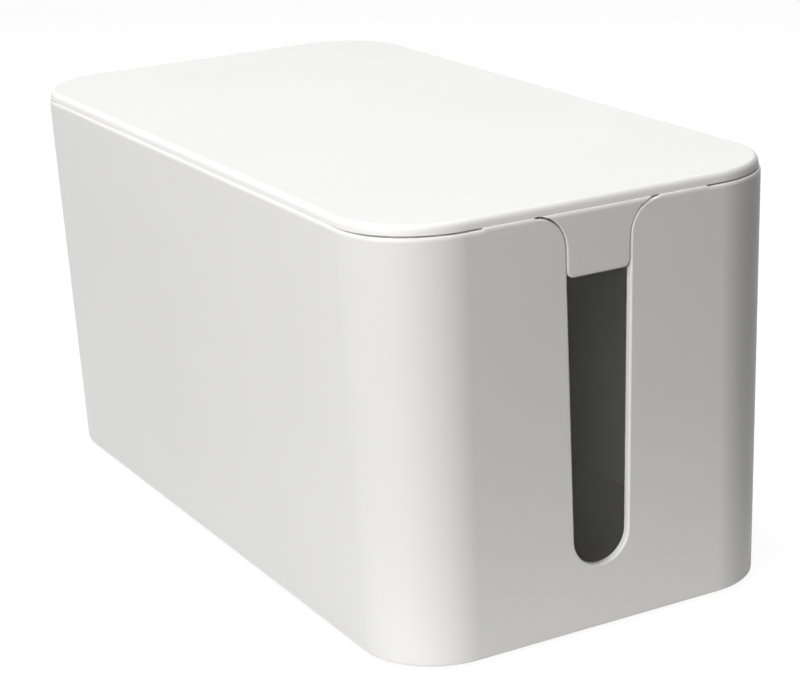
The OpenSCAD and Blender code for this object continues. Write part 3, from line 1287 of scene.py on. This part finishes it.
@dataclass(frozen=True)
class View:
    """The photograph's viewpoint."""

    lens: float = 102.989
    sensor: float = 36.0
    clip: tuple[float, float] = (0.01, 50.0)
    azimuth: float = 62.010
    elevation: float = 17.738
    roll: float = -2.800
    distance: float = 671.863 * MM
    right: float = 5.662 * MM
    up: float = -8.680 * MM
    target: tuple[float, float, float] = (0.0, 0.0, 58.5 * MM)

    def place(self) -> None:
        """Adds the camera and makes it the scene's."""
        turn, rise, roll = (math.radians(a) for a in (self.azimuth, self.elevation, self.roll))
        back = Vector((
            math.sin(turn) * math.cos(rise), -math.cos(turn) * math.cos(rise), math.sin(rise)
        ))
        level = (-back).cross(Vector((0, 0, 1))).normalized()
        upright = level.cross(-back)
        right = math.cos(roll) * level + math.sin(roll) * upright
        up = math.cos(roll) * upright - math.sin(roll) * level
        at = Vector(self.target) + back * self.distance + right * self.right + up * self.up
        data = bpy.data.cameras.new("photo_view")
        data.lens, data.sensor_width = self.lens, self.sensor
        data.clip_start, data.clip_end = self.clip
        camera = bpy.data.objects.new("photo_view", data)
        camera.matrix_world = Matrix.Translation(at) @ Matrix((right, up, back)).transposed().to_4x4()
        bpy.context.scene.collection.objects.link(camera)
        bpy.context.scene.camera = camera


@dataclass(frozen=True)
class SoftBox:
    """A large soft lamp that faces the box."""

    name: str
    azimuth: float        # degrees from +X towards +Y
    elevation: float
    distance: float
    size: float
    power: float
    colour: tuple[float, float, float] = (1.0, 1.0, 1.0)
    target_z: float = 60.0 * MM

    def place(self) -> None:
        """Adds the lamp."""
        turn, rise = math.radians(self.azimuth), math.radians(self.elevation)
        away = Vector((
            math.cos(turn) * math.cos(rise), math.sin(turn) * math.cos(rise), math.sin(rise)
        ))
        data = bpy.data.lights.new(self.name, "AREA")
        data.shape, data.size, data.energy, data.color = "DISK", self.size, self.power, self.colour
        lamp = bpy.data.objects.new(self.name, data)
        lamp.location = Vector((0, 0, self.target_z)) + away * self.distance
        lamp.rotation_euler = away.to_track_quat("Z", "Y").to_euler()
        bpy.context.scene.collection.objects.link(lamp)


def split_by_ray(
    tree: bpy.types.NodeTree, lights: bpy.types.NodeSocket, shows: bpy.types.NodeSocket
) -> bpy.types.NodeSocket:
    """Adds nodes that give what is seen one shader, and the light that is sent back another.

    Args:
        tree: The tree to add them to.
        lights: The shader for every other ray.
        shows: The shader for camera, glossy and transmission rays.

    Returns:
        The socket that gives the one or the other.
    """
    path = add_node(tree, "LightPath").outputs
    seen = path["Is Camera Ray"]
    for kind in ("Is Glossy Ray", "Is Transmission Ray"):
        seen = add_node(tree, "Math", {0: seen, 1: path[kind]}, operation="MAXIMUM").outputs[0]
    return add_node(tree, "MixShader", {0: seen, 1: lights, 2: shows}).outputs[0]


@dataclass(frozen=True)
class Studio:
    """A pale floor with painted bounce light in its hidden greys, a white surrounding and soft lamps."""

    footprint: Vector
    floor_size: float = 14.0
    painted_bounce_ends: float = 0.55           # painted bounce light: the floor's grey beside the ends, for the light it sends back
    painted_bounce_sides: float = 0.19          # painted bounce light: its grey beside the long walls
    painted_bounce_away: float = 0.04           # painted bounce light: its grey away from the box, near black so that little light comes back
    painted_bounce_behind: float = 0.8          # painted bounce light: its grey on the side hidden from the camera, pale to light the rear walls
    reach: float = 110.0 * MM         # how far from the box its grey becomes the one away from it
    corner_span: float = 30.0 * MM    # along how much of a long wall its grey becomes the ends' grey
    behind_span: tuple[float, float] = (30.0 * MM, 70.0 * MM)   # how far behind its grey changes
    floor_glow: float = 0.91          # what the floor shows without any light on it
    floor_shade: float = 0.14         # the part of the floor's look that takes shadows
    dim: float = 0.01                 # the surrounding's own light
    lamps: tuple[SoftBox, ...] = (
        SoftBox("top_lamp", -100.0, 88.0, 1.3, 1.0, 14.9),
        SoftBox("end_lamp", -43.0, 15.0, 1.3, 0.8, 6.6, (1.0, 0.985, 0.922)),
        SoftBox("side_lamp", -70.0, 15.0, 1.3, 0.8, 7.8),
        SoftBox("rear_lamp", -150.0, 15.0, 1.3, 0.8, 1.8),
    )

    def build(self) -> None:
        """Adds the floor, the surrounding and the lamps."""
        self._floor()
        self._surrounding()
        for lamp in self.lamps:
            lamp.place()

    def _floor(self) -> None:
        """Adds the floor, white to the camera and grey to the light that it sends back."""
        bpy.ops.object.select_all(action="DESELECT")
        bpy.ops.mesh.primitive_plane_add(size=self.floor_size)
        floor = bpy.context.active_object
        floor.name = floor.data.name = "studio_floor"
        material = bpy.data.materials.new("floor_white")
        material.use_nodes = True
        tree = material.node_tree
        tree.nodes.clear()
        glow = add_node(tree, "Emission", {"Strength": self.floor_glow})
        shade = add_node(tree, "BsdfDiffuse", {"Color": (*(self.floor_shade,) * 3, 1.0)})
        shown = add_node(tree, "AddShader", {0: glow.outputs[0], 1: shade.outputs[0]})
        # painted bounce light: light rays meet a floor grey that is painted by place around the box
        bounce = add_node(tree, "BsdfDiffuse", {"Color": self._painted_bounce_grey(tree)})
        surface = split_by_ray(tree, bounce.outputs[0], shown.outputs[0])
        add_node(tree, "OutputMaterial", {"Surface": surface})
        dress(floor, material)
        floor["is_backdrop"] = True

    def _painted_bounce_grey(self, tree: bpy.types.NodeTree) -> bpy.types.NodeSocket:
        """Adds nodes for the floor's painted bounce light: a grey that depends on where it lies from the
        box.

        Args:
            tree: The tree to add them to.

        Returns:
            The socket that gives the grey.
        """
        def blend(value: object, span: tuple[float, float], low: object, high: object) -> object:
            """The grey that goes smoothly from low to high as a value crosses a span."""
            return add_node(tree, "MapRange", {
                "Value": value, "From Min": span[0], "From Max": span[1], "To Min": low, "To Max": high,
            }, interpolation_type="SMOOTHSTEP").outputs["Result"]

        place = add_node(tree, "TexCoord").outputs["Object"]
        folded = add_node(tree, "VectorMath", {0: place}, operation="ABSOLUTE").outputs[0]
        past = add_node(tree, "VectorMath", {0: folded, 1: self.footprint}, operation="SUBTRACT").outputs[0]
        outside = add_node(tree, "VectorMath", {0: past}, operation="MAXIMUM").outputs[0]
        away = add_node(tree, "VectorMath", {0: outside}, operation="LENGTH").outputs["Value"]
        past_end = add_node(tree, "SeparateXYZ", {0: past}).outputs["X"]
        beside = blend(past_end, (-self.corner_span, 0.0), self.painted_bounce_sides, self.painted_bounce_ends)
        grey = blend(away, (0.0, self.reach), beside, self.painted_bounce_away)

        diagonal = Vector((-self.footprint.y, self.footprint.x, 0)).normalized()
        across = add_node(tree, "VectorMath", {0: place, 1: diagonal}, operation="DOT_PRODUCT")
        along = add_node(tree, "SeparateXYZ", {0: place}).outputs["X"]
        short = add_node(tree, "Math", {0: self.footprint.x, 1: along}, operation="SUBTRACT")
        behind = add_node(
            tree, "Math", {0: across.outputs["Value"], 1: short.outputs[0]}, operation="MINIMUM"
        )
        # painted bounce light: the floor turns pale behind the box, to light its rear walls
        return blend(behind.outputs[0], self.behind_span, grey, self.painted_bounce_behind)

    def _surrounding(self) -> None:
        """Makes the world white to the camera and dim to the light that it sends out."""
        world = bpy.data.worlds.new("studio_surrounding")
        bpy.context.scene.world = world
        world.use_nodes = True
        tree = world.node_tree
        tree.nodes.clear()
        dim, white = (
            add_node(tree, "Background", {"Strength": strength, "Color": (1.0,) * 4}).outputs[0]
            for strength in (self.dim, 1.0)
        )
        add_node(tree, "OutputWorld", {"Surface": split_by_ray(tree, dim, white)})


# ---------------------------------------------------------------- the whole box


@dataclass(frozen=True)
class Finishes:
    """The box's finishes."""

    wall: Finish = Finish("satin_white", (0.84, 0.84, 0.832), 0.42, 0.35 * MM, 0.004 * MM)
    lid: Finish = Finish(
        "grained_white", (0.86, 0.86, 0.853), 0.42, 0.5 * MM, 0.02 * MM, matt_above=115.6 * MM
    )
    rubber: Finish = Finish("grey_rubber", (0.16, 0.16, 0.155), 0.75, 0.4 * MM, 0.02 * MM, tone_share=0.12)


def enter(piece: bpy.types.Object, body: str, node: str, material: bpy.types.Material) -> None:
    """Dresses a piece and enters it in the frame.

    Args:
        piece: The finished piece.
        body: The body that it rides on.
        node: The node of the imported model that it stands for.
        material: Its material.
    """
    dress(piece, material)
    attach(piece, body)
    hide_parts(node)
    LOG.info("%s stands for %s: %d faces", piece.name, node, len(piece.data.polygons))


def main() -> None:
    """Builds the box's pieces in order and reports each one."""
    logging.basicConfig(level=logging.INFO, format="%(name)s: %(message)s")
    cad_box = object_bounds()
    bpy.context.scene.view_settings.view_transform = "Standard"
    View().place()
    Studio(footprint=cad_box[1]).build()

    groups = {tree.name: tree for tree in (mould_grain_group(), tone_drift_group(), height_mask_group())}
    finishes = Finishes()
    wall, lid_top, rubber = (
        finish.material(groups) for finish in (finishes.wall, finishes.lid, finishes.rubber)
    )
    form, slot, feet = CaseForm.from_frame(), SlotForm(), Feet()
    tongue = Tongue(form, slot)
    enter(Tub(form, slot).build(feet), "case", "case_tub", wall)
    enter(Lid(form).build(tongue), "lid", "lid", lid_top)
    for end in End:
        enter(tongue.build(end), "lid", f"tongue_{end.name.lower()}", wall)
    for node, foot in feet.build().items():
        enter(foot, "case", node, rubber)


if __name__ == "__main__":
    main()
